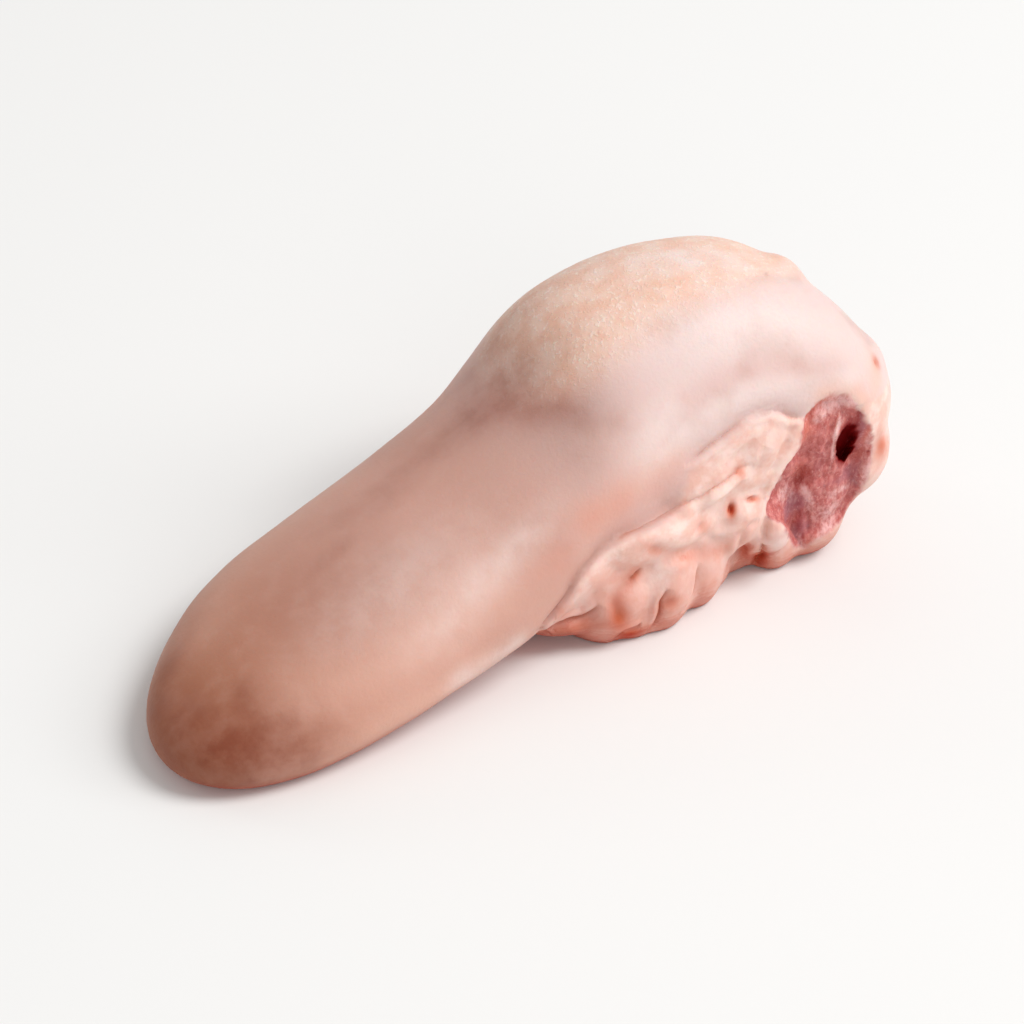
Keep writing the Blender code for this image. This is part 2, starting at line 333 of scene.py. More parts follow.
# %% The skin as arrays
class Skin:
    """The vertices of a mesh as arrays in millimetres, with a tree to cast rays at."""

    def __init__(self, obj):
        self.mesh = obj.data
        count = len(self.mesh.vertices)
        self.place = np.empty(count * 3, np.float32)
        self.mesh.vertices.foreach_get("co", self.place)
        self.place = self.place.reshape(count, 3).astype(float) / MM
        self.outward = np.empty(count * 3, np.float32)
        self.mesh.vertices.foreach_get("normal", self.outward)
        self.outward = self.outward.reshape(count, 3).astype(float)
        self.tree = BVHTree.FromPolygons([tuple(p) for p in self.place],
                                         [tuple(f.vertices) for f in self.mesh.polygons])
        self.sunk, self.line = np.zeros(count), np.zeros(count)

    def keep(self):
        """Write the moved vertices back to the mesh."""
        self.mesh.vertices.foreach_set("co", (self.place * MM).astype(np.float32).ravel())
        self.mesh.update()


skin = Skin(tongue)
print("highest place, mm:", [round(float(v), 1) for v in skin.place[skin.place[:, 2].argmax()]])

# %% From a pixel to a place on the skin
OUTSIDE = 100.0


def pixel_ray(px, py):
    """Direction from the camera through a pixel of the photo."""
    back, right, up = VIEW
    scale = SENSOR / FOCAL / FRAME
    return (right * (px - FRAME / 2) * scale - up * (py - FRAME / 2) * scale - back).normalized()


def on_skin(skin, px, py):
    """Point and outward direction of the skin that the photo shows at a pixel."""
    spot, outward, _, _ = skin.tree.ray_cast(EYE / MM, pixel_ray(px, py))
    return (np.array(spot), np.array(outward)) if spot is not None else (None, None)


def across(skin, point):
    """The matching point on the far side, where a similar fold may lie."""
    x, y, z = point
    start = Vector((x - FAR_SHIFT, OUTSIDE, z))
    spot, outward, _, _ = skin.tree.ray_cast(start, Vector((0, -1, 0)))
    return (np.array(spot), np.array(outward)) if spot is not None else (None, None)


print("the middle of the photo, mm:", [round(float(v), 1) for v in on_skin(skin, 512, 512)[0]])


# %% Smooth routes through a few pixels
def smooth_route(points, spacing=2.0):
    """Closely spaced places on a smooth line through a few (x, y) pixels."""
    points = np.array(points, float)
    along = np.concatenate(([0.0], np.cumsum(np.hypot(*np.diff(points, axis=0).T))))
    where = np.linspace(0, along[-1], max(3, int(along[-1] / spacing)))
    return np.stack([curve(where, list(zip(along, points[:, k]))) for k in (0, 1)], axis=1)


def lay(skin, pixels, far=False):
    """The route as points and outward directions on the skin."""
    laid = [on_skin(skin, *p) for p in smooth_route(pixels)]
    if far:
        laid = [across(skin, p) for p, _ in laid if p is not None]
    laid = [(p, n) for p, n in laid if p is not None]
    return np.array([p for p, _ in laid]), np.array([n for _, n in laid])


print("three pixels give", len(smooth_route(((500, 500), (520, 490), (540, 500)))), "places")

# %% [markdown]
# ## Folds
#
# A fold between two lobes of fat is not a symmetric groove. One lobe hangs over with a round,
# lit lip, and the other slides in under it. So a fold here has its own width on each side, a
# depth, a lip that swells along its left side, and a hang that pushes this lip over the groove.
# Towards both ends it fades out.

# %% Press one fold
FACING, FAR_OFF, NEARBY = -0.2, 9.0, 6.0
LIP_AT, LIP_WIDE, HANG_AT, HANG_WIDE = 2.2, 1.3, 1.3, 1.4
INK_RIGHT, INK_LEFT = 0.8, 0.35


def press_fold(skin, pixels, left, right, depth, lip=0.0, hang=0.0, ink=0.0, far=False,
               sharp=1.4, fade=0.25):
    """Sink the skin along a route, with its own width on the left and on the right of it."""
    points, outward = lay(skin, pixels, far)
    if len(points) < 3:
        return
    heading = np.gradient(points, axis=0)
    heading /= np.linalg.norm(heading, axis=1)[:, None] + 1e-9
    aside = np.cross(heading, outward) * (-1.0 if far else 1.0)
    reach = 4.0 * max(left, right)
    low, high = points.min(0) - reach, points.max(0) + reach
    near = np.nonzero(((skin.place > low) & (skin.place < high)).all(1))[0]
    gap = skin.place[near, None] - points[None]
    distance = np.linalg.norm(gap, axis=2)
    nearest = distance.argmin(1)
    rows = np.arange(len(near))
    side = np.sign((gap[rows, nearest] * aside[nearest]).sum(1))
    distance = distance[rows, nearest]
    along = nearest / (len(points) - 1.0)
    strength = np.clip(np.minimum(along, 1.0 - along) / max(fade, 1e-3), 0.0, 1.0)
    strength = strength * (2.0 - strength)
    strength = strength * ((skin.outward[near] * outward[nearest]).sum(1) > FACING)
    width = np.where(side > 0, right, left)
    sunk = depth * strength * np.exp(-(distance / width) ** sharp)
    swell = lip * np.exp(-((distance - LIP_AT * left) / (LIP_WIDE * left)) ** 2) * (side < 0)
    over = hang * np.exp(-((distance - HANG_AT * left) / (HANG_WIDE * left)) ** 2) * (side < 0)
    skin.sunk[near] = np.maximum(skin.sunk[near], sunk)
    # Painted shade: a dark line along the fold, wider on its right, kept in skin.line for the
    # material.
    line = ink * strength * np.exp(-(distance / np.where(side > 0, INK_RIGHT, INK_LEFT)) ** 2)
    skin.line[near] = np.maximum(skin.line[near], line)
    skin.place[near] += skin.outward[near] * (swell * strength - sunk)[:, None]
    skin.place[near] += aside[nearest] * (over * strength)[:, None]


print("share of the depth at 0, 1 and 2 widths:",
      [round(float(np.exp(-far_out ** 1.4)), 2) for far_out in (0, 1, 2)])


# %% Press one spot
def oval(skin, pixel, half, tilt, far=False):
    """How many half sizes each vertex lies from an oval spot on the skin."""
    point, outward = on_skin(skin, *pixel)
    if far and point is not None:
        point, outward = across(skin, point)
    if point is None:
        return np.full(len(skin.place), FAR_OFF)
    back, right, up = (np.array(v) for v in VIEW)
    if far:
        right, up = right * (-1, 1, -1), up * (1, -1, 1)
    a = radians(tilt)
    wide = right * cos(a) + up * sin(a)
    wide = wide - outward * (wide @ outward)
    wide /= np.linalg.norm(wide)
    tall = np.cross(outward, wide)
    gap = skin.place - point
    size = np.sqrt((gap @ wide / half[0]) ** 2 + (gap @ tall / half[1]) ** 2
                   + (gap @ outward / max(half)) ** 2)
    return np.where(skin.outward @ outward > FACING, size, FAR_OFF)


def press_spot(skin, pixel, half, tilt, depth, far=False):
    """Sink (or raise, with a negative depth) an oval spot: half sizes across and along."""
    move = depth * np.exp(-oval(skin, pixel, half, tilt, far) ** 2)
    skin.place -= skin.outward * move[:, None]
    skin.sunk = np.maximum(skin.sunk, move)


trial = oval(skin, (600, 580), (3.0, 4.5), 45)
print("an oval of 3 by 4.5 mm takes in", int((trial < 1).sum()), "vertices")

# %% [markdown]
# ## The main lines of the side
#
# Three lines divide the side of the tongue: the crease where the body overhangs the fat, the top
# of the smooth sheet, and the outline of the cut flesh. The knife left the flesh a little lower
# than the fat round it. So we sink it as a whole first, while the mesh is still coarse, and the
# rim comes out as one clean step.

# %% Routes of the crease, the sheet and the cut face
CREASE = ((757, 466), (748, 469), (739, 474), (730, 482), (712, 492), (701, 501), (690, 504),
          (682, 506), (671, 511), (657, 519), (642, 527), (621, 537), (605, 549), (592, 564),
          (577, 584), (571, 597), (562, 610), (546, 627), (532, 637))
SHEET_TOP = ((806, 417), (800, 419), (793, 420), (785, 416), (773, 413), (760, 415), (750, 419),
             (738, 428), (722, 441), (710, 450), (697, 460), (684, 468))
FLESH_EDGE = ((802, 420), (808, 411), (815, 404), (822, 399), (832, 395), (843, 394), (854, 397),
              (860, 407), (866, 417), (871, 428), (873, 440), (873, 452), (872, 465), (869, 477),
              (863, 488), (857, 498), (852, 507), (844, 517), (834, 530), (819, 539), (802, 550),
              (794, 547), (786, 534), (778, 524), (768, 517), (766, 511), (771, 493), (778, 480),
              (785, 467), (794, 456), (799, 447), (802, 431))
print("the crease is", round(float(np.hypot(*np.diff(CREASE, axis=0).T).sum())), "pixels long")


# %% Sink the cut face
CUT_DEPTH, CUT_DEPTH_FAR, CUT_RIM = 2.3, 1.8, 2.6


def inside_distance(flat, outline):
    """Signed distance of (x, z) points to a closed outline, positive inside it."""
    a = np.array(outline)
    b = np.roll(a, -1, axis=0)
    best = np.full(len(flat), 1e9)
    inside = np.zeros(len(flat), bool)
    for (ax, az), (bx, bz) in zip(a, b):
        edge = np.array([bx - ax, bz - az])
        gap = flat - (ax, az)
        t = np.clip(gap @ edge / (edge @ edge + 1e-12), 0, 1)
        best = np.minimum(best, np.hypot(*(gap - t[:, None] * edge).T))
        crosses = (az > flat[:, 1]) != (bz > flat[:, 1])
        at = ax + (flat[:, 1] - az) * (bx - ax) / (bz - az + 1e-12)
        inside ^= crosses & (flat[:, 0] < at)
    return np.where(inside, best, -best)


def sink_face(skin, pixels, depth, rim, far=False):
    """Sink everything inside an outline, with a rim that falls steeply, and count it."""
    points, _ = lay(skin, (*pixels, pixels[0]), far)
    reach = inside_distance(skin.place[:, (0, 2)], points[:, (0, 2)])
    ours = skin.outward[:, 1] * (1 if far else -1) > -0.1
    ours &= (skin.place[:, 1] * (1 if far else -1)) > 5
    fall = np.clip(reach / rim, 0, 1)
    fall = fall * fall * (3 - 2 * fall) * ours
    skin.place[:, 1] += depth * fall * (-1 if far else 1)
    return int((fall > 0).sum())


skin = Skin(tongue)
for far, depth in ((False, CUT_DEPTH), (True, CUT_DEPTH_FAR)):
    sunk_in = sink_face(skin, FLESH_EDGE, depth, CUT_RIM, far)
    print("far" if far else "near", "cut face:", sunk_in, "vertices")
skin.keep()

# %% [markdown]
# ## A finer mesh where it is needed
#
# The blade is smooth and needs few faces. The glands, the cut and the papillae are full of small
# relief. One fine mesh all over would be heavy, so only these regions are split, and those that
# face the camera are split once more.

# %% Finer mesh where the relief is fine
def refine(obj, wanted):
    """Split the faces in half each way where wanted says so."""
    bm = bmesh.new()
    bm.from_mesh(obj.data)
    faces = [f for f in bm.faces if wanted(*(f.calc_center_median() / MM), f.normal)]
    edges = {e for f in faces for e in f.edges}
    bmesh.ops.subdivide_edges(bm, edges=list(edges), cuts=1, use_grid_fill=True)
    bmesh.ops.triangulate(bm, faces=[f for f in bm.faces if len(f.verts) > 4])
    bm.to_mesh(obj.data)
    bm.free()
    return len(faces)


def near_glands(x, y, z, normal):
    """Where the photo shows the glands and the cut flesh."""
    return y < -13 and -10 < x < 86 and z < min(23 + 0.62 * x, 46) and normal.z > -0.6


def far_glands(x, y, z, normal):
    """The same region on the far side."""
    return y > 16 and -14 < x < 84 and 1.0 < z < min(23 + 0.62 * x, 44) and normal.z > -0.6


def papillae_zone(x, y, z, normal):
    """Where the back of the tongue carries its papillae."""
    return z > 38 and 0 < x < 75 and -22 < y < 24 and normal.z > 0.15


def seen_glands(x, y, z, normal):
    """The part of the near zone that faces the camera."""
    return near_glands(x, y, z, normal) and z > 0.8 and normal.dot(VIEW[0]) > -0.15


def even_out(obj, passes):
    """Let the new vertices settle into one smooth skin."""
    settle = obj.modifiers.new("settle", "SMOOTH")
    settle.factor, settle.iterations = 0.5, passes
    apply_modifiers(obj)


for number, zone in enumerate((near_glands, far_glands, papillae_zone, seen_glands)):
    count = refine(tongue, zone)
    if number in (2, 3):
        even_out(tongue, 2)
    print("refined", count, "faces in", zone.__name__)
print("now", sum(len(f.vertices) - 2 for f in tongue.data.polygons), "triangles")

# %% [markdown]
# ## The folds of the glands
#
# Under the body lie lobes of fat and salivary gland. Their folds run from the crease down to the
# table, with small pits between. Each fold is listed once with the pixels of its route in the
# photo and its own widths, depth and lip in millimetres. The same list, mirrored, serves the far
# side, which the photo doesn't show.

# %% Folds of the glands
# In each fold, ink sets how strong a painted shade line it gets.
FOLDS = (
    (CREASE, dict(left=0.9, right=3.0, depth=1.6, lip=0.3, hang=0.4, ink=0.1, fade=0.10)),
    (SHEET_TOP, dict(left=0.6, right=2.2, depth=1.4, lip=0.4, hang=0.5, ink=0.1, fade=0.2)),
    (((536, 632), (542, 630), (551, 625), (561, 621), (572, 618), (582, 616), (592, 611),
      (600, 604)),
     dict(left=0.6, right=2.0, depth=1.2, lip=0.3, hang=0.4, ink=0.8)),
    (((606, 642), (614, 639), (620, 634), (625, 631), (633, 628), (642, 624)),
     dict(left=0.5, right=1.6, depth=1.2, lip=0.3, hang=0.5, ink=0.8)),
    (((642, 640), (647, 632), (653, 625), (657, 617), (659, 609), (660, 602), (664, 595),
      (668, 588)),
     dict(left=0.5, right=1.3, depth=1.3, lip=0.4, hang=0.4, ink=0.8, fade=0.4)),
    (((682, 614), (687, 604), (692, 594), (695, 583), (697, 574), (700, 563)),
     dict(left=0.5, right=1.2, depth=1.1, lip=0.4, hang=0.3, ink=0.6, fade=0.45)),
    (((629, 581), (633, 577), (637, 572), (641, 567)),
     dict(left=0.35, right=0.35, depth=0.7, ink=1.0, fade=0.5)),
    (((634, 577), (627, 584), (618, 594), (614, 603), (617, 613), (621, 624)),
     dict(left=1.7, right=1.7, depth=0.9, sharp=2)),
    (((646, 548), (652, 550), (660, 552), (670, 554), (690, 554), (705, 552), (722, 548)),
     dict(left=2.2, right=2.2, depth=0.9, sharp=2, fade=0.4)),
    (((752, 567), (756, 561), (759, 555), (761, 549), (763, 542)),
     dict(left=0.6, right=1.2, depth=1.4, lip=0.3, hang=0.2, ink=0.5)),
    (((741, 560), (741, 551), (742, 542), (746, 533), (752, 526), (760, 521)),
     dict(left=1.1, right=1.1, depth=0.8, sharp=2)),
    (((764, 540), (764, 532), (766, 524), (768, 516)),
     dict(left=0.9, right=0.9, depth=0.8, sharp=2)),
    (((690, 508), (702, 509), (712, 514), (722, 518)),
     dict(left=1.6, right=1.8, depth=0.6, sharp=2, fade=0.4)),
    (((717, 524), (728, 526), (738, 524), (748, 519)),
     dict(left=1.6, right=1.6, depth=0.4, sharp=2)),
    (((745, 475), (757, 466), (764, 455), (768, 447)),
     dict(left=1.4, right=1.4, depth=0.5, sharp=2)),
    (((794, 424), (789, 434), (787, 446), (781, 458)),
     dict(left=1.0, right=1.0, depth=0.5, sharp=2)),
    (((696, 494), (712, 482), (728, 466), (742, 452), (758, 440)),
     dict(left=1.0, right=1.8, depth=0.5, sharp=2)),
    (((712, 466), (728, 452), (744, 440), (762, 430), (776, 428)),
     dict(left=1.0, right=1.4, depth=-0.35, sharp=2)),
    (((768, 474), (776, 464), (782, 450), (790, 440)),
     dict(left=0.8, right=1.2, depth=0.5, sharp=2)),
    (((700, 534), (716, 540), (732, 538), (746, 530)),
     dict(left=1.2, right=1.6, depth=0.45, sharp=2)),
    (((764, 500), (768, 488), (774, 476)),
     dict(left=0.8, right=0.8, depth=-0.4, sharp=2)),
    (((740, 279), (755, 275), (770, 273), (785, 275), (801, 280)),
     dict(left=1.4, right=2.0, depth=0.5, sharp=2, mirrored=False)),
)
print("folds:", len(FOLDS), "with a lip that hangs over:", sum("hang" in fold for _, fold in FOLDS))

# %% Spots of the glands: pixel, half sizes, tilt and depth
SPOTS = (
    ((655, 550), (1.8, 1.3), 0, 0.5), ((702, 527), (1.7, 1.2), 0, 0.7),
    ((669, 603), (2.0, 1.5), 20, 0.8), ((731, 509), (0.65, 1.3), -8, 1.3),
    ((752, 499), (1.5, 0.5), 5, 0.9), ((739, 473), (0.9, 0.9), 0, 0.6),
    ((759, 557), (1.0, 1.5), -30, 1.0), ((682, 563), (4.5, 2.0), 5, -1.1),
    ((640, 600), (2.6, 4.2), -20, -0.8), ((657, 535), (6.0, 2.2), 10, -0.8),
    ((600, 578), (3.0, 4.5), 45, -0.6), ((709, 537), (3.0, 1.6), 10, -0.6),
    ((722, 492), (4.0, 1.8), 35, -0.6), ((752, 481), (3.2, 2.6), 10, -0.7),
    ((742, 516), (2.0, 2.4), 0, -0.5), ((676, 588), (2.2, 4.0), -15, -0.6),
    ((706, 583), (1.8, 4.0), -15, -0.5), ((780, 543), (4.0, 4.0), 0, -0.8),
    ((749, 552), (1.0, 3.4), -8, -0.7), ((732, 549), (1.4, 3.6), -8, -0.6),
)
print("pits:", sum(depth > 0 for *_, depth in SPOTS), "bulges:", sum(depth < 0 for *_, depth in SPOTS))

# %% Press folds and spots on both sides
skin = Skin(tongue)
for far in (False, True):
    for route, fold in FOLDS:
        if not far or fold.get("mirrored", True):
            press_fold(skin, route, far=far, **{k: v for k, v in fold.items() if k != "mirrored"})
    for pixel, half, tilt, depth in SPOTS:
        press_spot(skin, pixel, half, tilt, depth, far=far)
skin.keep()
line, sunk = skin.line, skin.sunk
print("deepest place, mm:", round(float(sunk.max()), 1))

# %% [markdown]
# ## The cut face
#
# The cut crosses muscle, a membrane and a vessel. The vessel is a pit pushed straight in along
# the line of sight, so it looks as deep as it does in the photo. The membrane is a thin raised
# line on its left. Round it we raise the bulges of the muscle and press its dark hollows.

# %% Push in a pit along the line of sight
def bore(skin, pixel, half, depth, slant):
    """Push a pit in along the line of sight, steep on its left and its top slanting to the right."""
    point, _ = on_skin(skin, *pixel)
    back, right, up = (np.array(v) for v in VIEW)
    gap = skin.place - point
    rise = gap @ up
    aside = gap @ right - np.where(rise > 0, slant * rise, 0)
    aside = np.where(aside < 0, aside * 1.5, aside * 0.8)
    size = np.hypot(aside / half[0], rise / half[1])
    size += 0.16 * np.array([noise.noise(Vector(p) / 1.3) for p in skin.place]) * (size < 3)
    facing = (np.abs(gap @ back) < NEARBY) & (skin.outward @ back > FACING)
    move = depth * np.clip(1.15 - size ** 4, 0, 1) * facing
    skin.place -= back * move[:, None]
    return np.clip(1.5 - size, 0, 1) * 2 * facing


# %% Vessel, membrane, bulges and hollows
MEMBRANE = ((838, 402), (837, 415), (835, 428), (834, 440), (833, 455), (833, 476))
CUT_FOLDS = (
    (MEMBRANE, 0.45, -0.9, 0.3),
    (((858, 404), (859, 414), (862, 426)), 0.9, 0.9, 0.4),
    (((806, 498), (808, 510), (809, 522), (806, 535)), 0.7, 0.8, 0.4),
    (((846, 466), (851, 474), (855, 486), (850, 500)), 1.1, 0.9, 0.4),
)
CUT_SPOTS = (
    ((828, 508), (5.0, 5.0), 0, -1.3), ((820, 418), (4.0, 5.0), -30, -0.6),
    ((846, 402), (3.4, 1.8), 10, -0.7), ((864, 470), (2.0, 4.0), -10, -0.8),
    ((800, 477), (1.8, 3.2), -25, 1.9), ((804, 455), (2.0, 2.6), -20, 0.8),
    ((790, 505), (2.0, 5.0), -20, 0.6), ((801, 516), (1.0, 5.0), 14, -0.6),
    ((812, 486), (3.0, 1.5), 20, -0.5), ((793, 530), (1.2, 3.0), 10, 0.5),
    ((868, 451), (0.4, 0.4), 0, 0.4), ((882, 445), (1.6, 2.4), 0, -0.6),
    ((876, 362), (0.7, 1.4), 20, 0.5),
)
FAR_HOLLOWS = (((845, 440), (2.4, 4.0), 3.0), ((800, 480), (3.0, 5.0), 1.0))
VESSEL, VESSEL_HALF, VESSEL_DEPTH, VESSEL_SLANT = (843, 442), (2.2, 4.0), 7.5, 0.3
skin = Skin(tongue)
for route, width, depth, fade in CUT_FOLDS:
    press_fold(skin, route, width, width, depth, fade=fade)
for pixel, half, tilt, depth in CUT_SPOTS:
    press_spot(skin, pixel, half, tilt, depth)
for pixel, half, depth in FAR_HOLLOWS:
    press_spot(skin, pixel, half, 0, depth, far=True)
hole = bore(skin, VESSEL, VESSEL_HALF, VESSEL_DEPTH, VESSEL_SLANT)
skin.keep()
print("vessel:", int((hole > 0.5).sum()), "vertices,", VESSEL_DEPTH, "mm deep")

# %% [markdown]
# ## Fine relief
#
# Fat is finely wrinkled, cut muscle shows its fibres, and the back of the tongue carries
# papillae. All three are too small for a fold each, so noise moves the skin a few tenths of a
# millimetre in or out, each kind only where its mask says.

# %% Smooth steps and soft noise
def step_up(value, low, high):
    """Smooth step from 0 below low to 1 above high."""
    t = np.clip((value - low) / (high - low), 0, 1)
    return t * t * (3 - 2 * t)


def waver(places, size, seed):
    """Soft noise between -1 and 1 at each place, with features of about a size."""
    return np.array([noise.noise(Vector(p) / size + Vector((seed, 0, 0))) for p in places])


print("a step from 0 to 1:", [round(float(step_up(v, 0, 1)), 2) for v in (0, 0.25, 0.5, 0.75, 1)])

# %% Masks of what the surface is made of
FAT_LINE = ((533, 638), (548, 624), (562, 607), (576, 584), (597, 558), (622, 539), (652, 521),
            (676, 507), (684, 492), (690, 472), (710, 450), (738, 428), (760, 415), (785, 416),
            (806, 417))
TAN_LINE = ((462, 392), (500, 415), (545, 412), (590, 385), (630, 352), (680, 318), (730, 294),
            (770, 280), (801, 277))
skin = Skin(tongue)
x, y, z = skin.place.T
fat_line, _ = lay(skin, FAT_LINE)
order = fat_line[:, 0].argsort()
fat_height = np.interp(x + np.where(y > 0, FAR_SHIFT, 0), fat_line[order, 0], fat_line[order, 2])
jitter = 0.15 * waver(skin.place, 3.0, 5.0)
ragged = 0.7 * waver(skin.place, 2.6, 9.0) + 0.4 * waver(skin.place, 0.9, 3.0)
flat, edge = skin.place[:, (0, 2)], lay(skin, FLESH_EDGE)[0][:, (0, 2)]
flesh = step_up(inside_distance(flat, edge) + ragged, -0.3, 0.9) * (y < -8)
flesh += step_up(inside_distance(flat, edge - (FAR_SHIFT, 0)) + ragged, -0.3, 0.9) * (y > 8)
flesh = np.maximum(flesh, np.clip(hole, 0, 1))
soft = np.interp(x, (19, 29, 39, 50), (0.5, 3.5, 3.0, 0.6))
fat = step_up((fat_height - z + jitter) / soft, -1.0, 1.0) * step_up(x + jitter, -12, -8)
fat *= (1 - flesh) * step_up(86 - x, 0, 6)
tan_line, _ = lay(skin, TAN_LINE)
order = tan_line[:, 0].argsort()
tan_edge = np.interp(x, tan_line[order, 0], tan_line[order, 1])
middle = np.interp(x, (-20, 27, 58, 90), (2.8, 3.8, -1.7, -10.7))
tan = step_up(y - tan_edge, -4.5, 6.0) * step_up(2 * middle - tan_edge + 10 - y, -4.5, 6.0)
tan *= step_up(x + 0.5 * waver(skin.place, 8.0, 2.0), 0, 16) * step_up(80 - x, 0, 14)
print("fat, flesh and papillae cover", [round(float(m.mean()), 2) for m in (fat, flesh, tan)])

# %% Raise the fine relief
squeezed = skin.place * (1.0, 1.0, 0.45)
fibres = (0.26 * waver(squeezed, 1.3, 1.0) + 0.50 * waver(skin.place, 3.2, 4.0)
          + 0.14 * waver(skin.place, 0.8, 8.0))
wrinkles = (0.10 * waver(skin.place, 5.0, 6.0) + 0.04 * waver(skin.place, 2.2, 7.0)
            + 0.015 * waver(skin.place, 0.9, 2.0))
papillae = 0.05 * waver(skin.place, 1.6, 11.0) + 0.06 * np.abs(waver(skin.place, 1.0, 12.0))
blade = 0.10 * waver(skin.place, 9.0, 13.0)
relief = (fibres * flesh * (1 - np.clip(hole, 0, 1)) + wrinkles * fat
          + papillae * tan + blade * (1 - fat) * (1 - flesh))
skin.place += skin.outward * relief[:, None]
skin.keep()
print("the relief moves the skin by at most", round(float(np.abs(relief).max()), 2), "mm")

# %% [markdown]
# ## Blush, bruises, pale streaks, and painted light and shade
#
# The skin is not one pink. We dab soft ovals of each tint where the photo shows it, as an
# airbrush would, and keep each tint as a mask on the mesh. Some tints paint light and shade
# rather than the meat's own colour: shade on flanks turned from the lamps, in folds and under
# lobes, and light on lit sides and highlights. The material mixes the colours later, so a tint
# can change without touching the places.

# %% Two ways to lay a tint: dabs and brush strokes
SMALL = 3.5


def flat_oval(skin, pixel, half, tilt):
    """Like oval, but measured across the line of sight, for small spots in a hollow."""
    point, _ = on_skin(skin, *pixel)
    back, right, up = (np.array(v) for v in VIEW)
    a = radians(tilt)
    gap = skin.place - point
    size = np.hypot(gap @ (right * cos(a) + up * sin(a)) / half[0],
                    gap @ (up * cos(a) - right * sin(a)) / half[1])
    return np.where((np.abs(gap @ back) < NEARBY) & (skin.outward @ back > FACING), size, FAR_OFF)


def dabs(spots, far=False):
    """One mask out of soft ovals: pixel, half sizes, tilt and strength."""
    mask = np.zeros(len(skin.place))
    for pixel, half, tilt, strength in spots:
        for other in (False, True) if far else (False,):
            if max(half) < SMALL and not other:
                size = flat_oval(skin, pixel, half, tilt)
            else:
                size = oval(skin, pixel, half, tilt, other)
            mask = 1 - (1 - mask) * (1 - strength * np.exp(-size ** 2))
    return mask


def brush(strokes):
    """One mask out of soft lines on both sides: route, half width and strength."""
    mask = np.zeros(len(skin.place))
    for route, half, strength in strokes:
        for other in (False, True):
            points, _ = lay(skin, route, other)
            if not len(points):
                continue
            low, high = points.min(0) - 3 * half, points.max(0) + 3 * half
            near = np.nonzero(((skin.place > low) & (skin.place < high)).all(1))[0]
            gap = np.linalg.norm(skin.place[near, None] - points[None], axis=2).min(1)
            mask[near] = 1 - (1 - mask[near]) * (1 - strength * np.exp(-(gap / half) ** 2))
    return mask


def tell(**masks):
    """Print the share of the vertices that each mask tints."""
    print("tinted:", {name: round(float((mask > 0.1).mean()), 3) for name, mask in masks.items()})


skin = Skin(tongue)
tell(fat=fat, flesh=flesh, tan=tan)

# %% Dark bruises at the tip and in the folds of the blade, and painted shade low on the tip, on the left flank of the hump, in the neck and under the front lobe
# Partly the meat's own bruises and brown patches, partly painted shade where the surface turns away
# from the lamps or lies under a lobe.
dark = dabs((
    ((240, 762), (17, 11), 10, 0.85), ((248, 742), (10, 6), 0, 0.5), ((180, 735), (9, 12), 20, 0.6),
    ((215, 758), (8, 8), 0, 0.4),
    ((242, 693), (3, 3.5), 0, 0.4), ((158, 690), (4, 20), -15, 0.5), ((300, 762), (9, 5), 25, 0.3),
    ((505, 395), (16, 6), 25, 0.45), ((470, 410), (9, 7), 40, 0.3), ((548, 410), (10, 3.5), -10, 0.45),
    ((318, 565), (4, 2.5), 30, 0.22), ((344, 546), (3, 2), 30, 0.22), ((300, 600), (16, 10), 35, 0.2),
    ((418, 462), (16, 3.5), 40, 0.25), ((380, 500), (9, 4), 40, 0.2), ((490, 345), (4, 14), -35, 0.25),
    ((766, 274), (0.5, 0.5), 0, 0.3), ((512, 328), (8, 14), -35, 0.2), ((500, 368), (10, 9), 0, 0.2),
    ((558, 634), (7.0, 2.2), 8, 0.45), ((598, 622), (4.0, 2.4), 30, 0.25)))
tell(dark=dark)

# %% Pale streaks, painted highlights and lit sides, and peach edges
# Painted light, partly: the pale tint brightens the lit top of the hump, the near half of the blade, a
# highlight streak on it and the lit tops of a few lobes, besides pale streaks of the meat's own.
pale = dabs((
    ((470, 590), (14, 4), 48, 0.35), ((520, 545), (10, 3.5), 48, 0.4), ((720, 330), (18, 7), 15, 0.7),
    ((800, 330), (12, 8), -30, 0.4), ((690, 258), (14, 5), 5, 0.8), ((660, 430), (10, 5), 55, 0.6),
    ((400, 580), (22, 9), 45, 0.3), ((450, 620), (12, 6), 45, 0.15), ((780, 543), (4, 4), 0, 0.6),
    ((660, 572), (3, 4), 0, 0.4)))
pale = np.maximum(pale, brush((
    (((662, 452), (705, 415), (760, 388), (850, 378)), 2.8, 0.6),
    (((460, 680), (485, 667), (515, 645)), 3.5, 0.55))))
# Painted light, partly: the peach tint warms and lightens the lit near edge of the blade and the
# shaded rim above the cut face, besides the meat's own peach rim.
peach = dabs((((876, 372), (3.0, 5.0), 10, 0.6), ((872, 405), (2.4, 4.0), 0, 0.4)))
peach = np.maximum(peach, brush((
    (((822, 394), (838, 389), (854, 391), (866, 402), (873, 418)), 2.2, 0.7),
    (((594, 516), (634, 488), (670, 458)), 4.0, 0.4),
    (((270, 778), (330, 756), (390, 722), (440, 694), (480, 668)), 4.5, 0.5),
    (((300, 700), (360, 680), (420, 640), (480, 596)), 8.0, 0.35))))
tell(pale=pale, peach=peach)

